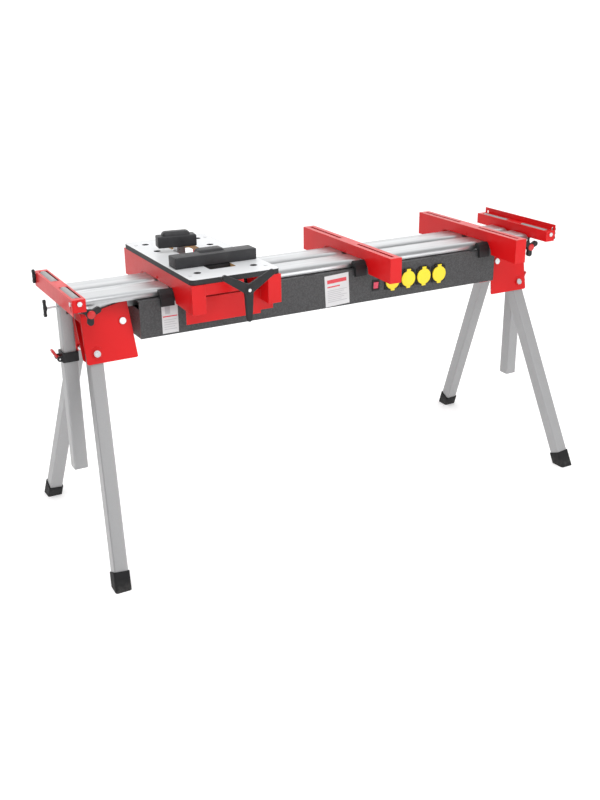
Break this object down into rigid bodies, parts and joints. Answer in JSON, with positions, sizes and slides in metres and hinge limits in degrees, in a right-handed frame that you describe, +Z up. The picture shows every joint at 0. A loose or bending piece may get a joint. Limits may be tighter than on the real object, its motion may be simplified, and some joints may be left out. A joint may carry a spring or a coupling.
{
  "type": "mitre saw stand",
  "caption": "Folding work stand for a mitre saw: aluminium beam on splayed legs, pull-out roller arms, sliding machine mounts, vise table and lidded socket panel.",
  "frame": {"origin": "on the floor under the middle of the stand", "axes": "+X along the beam towards the socket end, +Y to the back, +Z up; the socket panel faces -Y"},
  "size_m": [1.6208, 0.6802, 0.8314],
  "materials": {
    "aluminium": "extruded and brushed",
    "dark_sheet": "dark hammered paint",
    "red_paint": "smooth gloss powder coat",
    "grey_tube": "satin silver paint",
    "black_plastic": "fine matte texture",
    "zinc": "bright zinc plate",
    "yellow_plastic": "satin",
    "rocker_red": "translucent gloss",
    "roller_grey": "satin",
    "laminate": "white laminate on a board",
    "foot_rubber": "matte",
    "red_plastic": "satin"
  },
  "bodies": {
    "frame": {"beam": "aluminium", "arm_guides": "black_plastic", "tray": "dark_sheet", "bracket_left": "red_paint", "bracket_right": "red_paint", "frame_fasteners": "zinc", "switch_frame": "black_plastic", "socket_flanges": "black_plastic", "power_inlet": "black_plastic"},
    "rocker": {"switch_rocker": "rocker_red"},
    "lid_1": {"socket_lid_1": "yellow_plastic"},
    "lid_2": {"socket_lid_2": "yellow_plastic"},
    "lid_3": {"socket_lid_3": "yellow_plastic"},
    "lid_4": {"socket_lid_4": "yellow_plastic"},
    "leg_front_left": {"leg_front_left": "grey_tube", "foot_front_left": "foot_rubber"},
    "leg_back_left": {"leg_back_left": "grey_tube", "foot_back_left": "foot_rubber"},
    "arm_left": {"arm_tubes_left": "zinc", "roller_channel_left": "red_paint", "channel_axle_left": "zinc"},
    "rollers_left": {"rollers_left": "roller_grey"},
    "stop_plate_left": {"stop_plate_left": "red_paint"},
    "stop_knob_left": {"stop_knob_left": "black_plastic"},
    "drop_leg_left": {"drop_leg_upper_left": "grey_tube"},
    "drop_foot_left": {"drop_leg_lower_left": "grey_tube", "drop_collar_left": "black_plastic"},
    "drop_lever_left": {"drop_lever_left": "red_plastic"},
    "drop_knob_left": {"drop_knob_left": "black_plastic"},
    "arm_lock_left": {"arm_lock_left": "black_plastic"},
    "leg_front_right": {"leg_front_right": "grey_tube", "foot_front_right": "foot_rubber"},
    "leg_back_right": {"leg_back_right": "grey_tube", "foot_back_right": "foot_rubber"},
    "arm_right": {"arm_tubes_right": "zinc", "roller_channel_right": "red_paint", "channel_axle_right": "zinc"},
    "rollers_right": {"rollers_right": "roller_grey"},
    "stop_plate_right": {"stop_plate_right": "red_paint"},
    "stop_knob_right": {"stop_knob_right": "black_plastic"},
    "drop_leg_right": {"drop_leg_upper_right": "grey_tube"},
    "drop_foot_right": {"drop_leg_lower_right": "grey_tube", "drop_collar_right": "black_plastic"},
    "drop_lever_right": {"drop_lever_right": "red_plastic"},
    "drop_knob_right": {"drop_knob_right": "black_plastic"},
    "arm_lock_right": {"arm_lock_right": "black_plastic"},
    "machine_mount_1": {"machine_mount_1": "red_paint"},
    "mount_lever_1": {"mount_lever_1": "black_plastic"},
    "machine_mount_2": {"machine_mount_2": "red_paint"},
    "mount_lever_2": {"mount_lever_2": "black_plastic"},
    "vise_table": {"vise_frame": "red_paint", "vise_top": "laminate"},
    "vise_levers": {"vise_levers": "black_plastic"},
    "jaw_carriage": {"jaw_carriage": "black_plastic"},
    "front_jaw": {"front_jaw": "black_plastic"},
    "crank": {"vise_screw": "zinc", "crank_handle": "black_plastic"},
    "rear_jaw_stem": {"rear_jaw_stem": "zinc"},
    "rear_jaw": {"rear_jaw": "black_plastic"}
  },
  "joints": [
    {"name": "rocker_tilt", "type": "hinge", "parent": "frame", "child": "rocker", "pos_m": [0.146, -0.116, 0.643], "axis": [1, 0, 0], "range_deg": [-14, 0]},
    {"name": "lid_1_hinge", "type": "hinge", "parent": "frame", "child": "lid_1", "pos_m": [0.202, -0.12305, 0.676], "axis": [-1, 0, 0], "range_deg": [0, 95], "stiffness_Nm_per_rad": 0.02, "springref_deg": -17.19},
    {"name": "lid_2_hinge", "type": "hinge", "parent": "frame", "child": "lid_2", "pos_m": [0.258, -0.12305, 0.676], "axis": [-1, 0, 0], "range_deg": [0, 95], "stiffness_Nm_per_rad": 0.02, "springref_deg": -17.19},
    {"name": "lid_3_hinge", "type": "hinge", "parent": "frame", "child": "lid_3", "pos_m": [0.314, -0.12305, 0.676], "axis": [-1, 0, 0], "range_deg": [0, 95], "stiffness_Nm_per_rad": 0.02, "springref_deg": -17.19},
    {"name": "lid_4_hinge", "type": "hinge", "parent": "frame", "child": "lid_4", "pos_m": [0.37, -0.12305, 0.676], "axis": [-1, 0, 0], "range_deg": [0, 95], "stiffness_Nm_per_rad": 0.02, "springref_deg": -17.19},
    {"name": "leg_front_left_fold", "type": "hinge", "parent": "frame", "child": "leg_front_left", "pos_m": [-0.704, -0.072, 0.56], "axis": [0, -0.9167, 0.3995], "range_deg": [0, 92]},
    {"name": "leg_back_left_fold", "type": "hinge", "parent": "frame", "child": "leg_back_left", "pos_m": [-0.704, 0.072, 0.56], "axis": [0, -0.9167, -0.3995], "range_deg": [0, 92]},
    {"name": "arm_left_slide", "type": "slide", "parent": "frame", "child": "arm_left", "axis": [-1, 0, 0], "range_m": [0, 0.6]},
    {"name": "rollers_left_spin", "type": "hinge", "parent": "arm_left", "child": "rollers_left", "pos_m": [-0.7585, 0, 0.734], "axis": [0, 1, 0], "continuous": true},
    {"name": "stop_plate_left_slide", "type": "slide", "parent": "arm_left", "child": "stop_plate_left", "axis": [0, 0, 1], "range_m": [0, 0.017]},
    {"name": "stop_knob_left_turn", "type": "hinge", "parent": "arm_left", "child": "stop_knob_left", "pos_m": [-0.7778, 0.16, 0.733], "axis": [-1, 0, 0], "continuous": true},
    {"name": "drop_leg_left_swing", "type": "hinge", "parent": "arm_left", "child": "drop_leg_left", "pos_m": [-0.756, -0.018, 0.691], "axis": [1, 0, 0], "range_deg": [-13, 18]},
    {"name": "drop_leg_left_extend", "type": "slide", "parent": "drop_leg_left", "child": "drop_foot_left", "axis": [0, 0, -1], "range_m": [0, 0.228]},
    {"name": "drop_lever_left_flip", "type": "hinge", "parent": "drop_foot_left", "child": "drop_lever_left", "pos_m": [-0.784, -0.018, 0.552], "axis": [0, -1, 0], "range_deg": [0, 95]},
    {"name": "drop_knob_left_turn", "type": "hinge", "parent": "arm_left", "child": "drop_knob_left", "pos_m": [-0.8014, -0.018, 0.691], "axis": [-1, 0, 0], "continuous": true},
    {"name": "arm_lock_left_turn", "type": "hinge", "parent": "frame", "child": "arm_lock_left", "pos_m": [-0.719, -0.119, 0.69], "axis": [0, 1, 0], "continuous": true},
    {"name": "leg_front_right_fold", "type": "hinge", "parent": "frame", "child": "leg_front_right", "pos_m": [0.704, -0.072, 0.56], "axis": [0, 0.9167, -0.3995], "range_deg": [0, 92]},
    {"name": "leg_back_right_fold", "type": "hinge", "parent": "frame", "child": "leg_back_right", "pos_m": [0.704, 0.072, 0.56], "axis": [0, 0.9167, 0.3995], "range_deg": [0, 92]},
    {"name": "arm_right_slide", "type": "slide", "parent": "frame", "child": "arm_right", "axis": [1, 0, 0], "range_m": [0, 0.6]},
    {"name": "rollers_right_spin", "type": "hinge", "parent": "arm_right", "child": "rollers_right", "pos_m": [0.7585, 0, 0.734], "axis": [0, 1, 0], "continuous": true},
    {"name": "stop_plate_right_slide", "type": "slide", "parent": "arm_right", "child": "stop_plate_right", "axis": [0, 0, 1], "range_m": [-0.017, 0]},
    {"name": "stop_knob_right_turn", "type": "hinge", "parent": "arm_right", "child": "stop_knob_right", "pos_m": [0.7778, -0.16, 0.733], "axis": [1, 0, 0], "continuous": true},
    {"name": "drop_leg_right_swing", "type": "hinge", "parent": "arm_right", "child": "drop_leg_right", "pos_m": [0.756, -0.018, 0.691], "axis": [1, 0, 0], "range_deg": [-13, 18]},
    {"name": "drop_leg_right_extend", "type": "slide", "parent": "drop_leg_right", "child": "drop_foot_right", "axis": [0, 0, -1], "range_m": [0, 0.228]},
    {"name": "drop_lever_right_flip", "type": "hinge", "parent": "drop_foot_right", "child": "drop_lever_right", "pos_m": [0.784, -0.018, 0.552], "axis": [0, 1, 0], "range_deg": [0, 95]},
    {"name": "drop_knob_right_turn", "type": "hinge", "parent": "arm_right", "child": "drop_knob_right", "pos_m": [0.8014, -0.018, 0.691], "axis": [1, 0, 0], "continuous": true},
    {"name": "arm_lock_right_turn", "type": "hinge", "parent": "frame", "child": "arm_lock_right", "pos_m": [0.719, -0.119, 0.69], "axis": [0, 1, 0], "continuous": true},
    {"name": "machine_mount_1_slide", "type": "slide", "parent": "frame", "child": "machine_mount_1", "axis": [1, 0, 0], "range_m": [-0.28, 0.33]},
    {"name": "mount_lever_1_flip", "type": "hinge", "parent": "machine_mount_1", "child": "mount_lever_1", "pos_m": [0.1266, -0.112, 0.714], "axis": [-1, 0, 0], "range_deg": [0, 55]},
    {"name": "machine_mount_2_slide", "type": "slide", "parent": "frame", "child": "machine_mount_2", "axis": [1, 0, 0], "range_m": [-0.33, 0.085]},
    {"name": "mount_lever_2_flip", "type": "hinge", "parent": "machine_mount_2", "child": "mount_lever_2", "pos_m": [0.5745, -0.112, 0.714], "axis": [-1, 0, 0], "range_deg": [0, 55]},
    {"name": "vise_table_slide", "type": "slide", "parent": "frame", "child": "vise_table", "axis": [1, 0, 0], "range_m": [-0.15, 0.28]},
    {"name": "vise_levers_flip", "type": "hinge", "parent": "vise_table", "child": "vise_levers", "pos_m": [-0.3636, -0.112, 0.714], "axis": [-1, 0, 0], "range_deg": [0, 55]},
    {"name": "front_jaw_slide", "type": "slide", "parent": "vise_table", "child": "jaw_carriage", "axis": [0, 1, 0], "range_m": [-0.03, 0.06]},
    {"name": "front_jaw_swivel", "type": "hinge", "parent": "jaw_carriage", "child": "front_jaw", "pos_m": [-0.3636, -0.1015, 0.773], "axis": [0, 0, 1], "range_deg": [-12, 12]},
    {"name": "crank_turn", "type": "hinge", "parent": "vise_table", "child": "crank", "pos_m": [-0.3636, -0.312, 0.749], "axis": [0, 1, 0], "range_deg": [-1081, 2161]},
    {"name": "rear_jaw_slide", "type": "slide", "parent": "vise_table", "child": "rear_jaw_stem", "axis": [0, 1, 0], "range_m": [-0.02, 0.06]},
    {"name": "rear_jaw_swivel", "type": "hinge", "parent": "rear_jaw_stem", "child": "rear_jaw", "pos_m": [-0.3886, 0.075, 0.787], "axis": [0, 0, 1], "range_deg": [-12, 30]}
  ],
  "couplings": [
    {"joint": "crank_turn", "follows": "front_jaw_slide", "rad_per_m": 628.32}
  ]
}
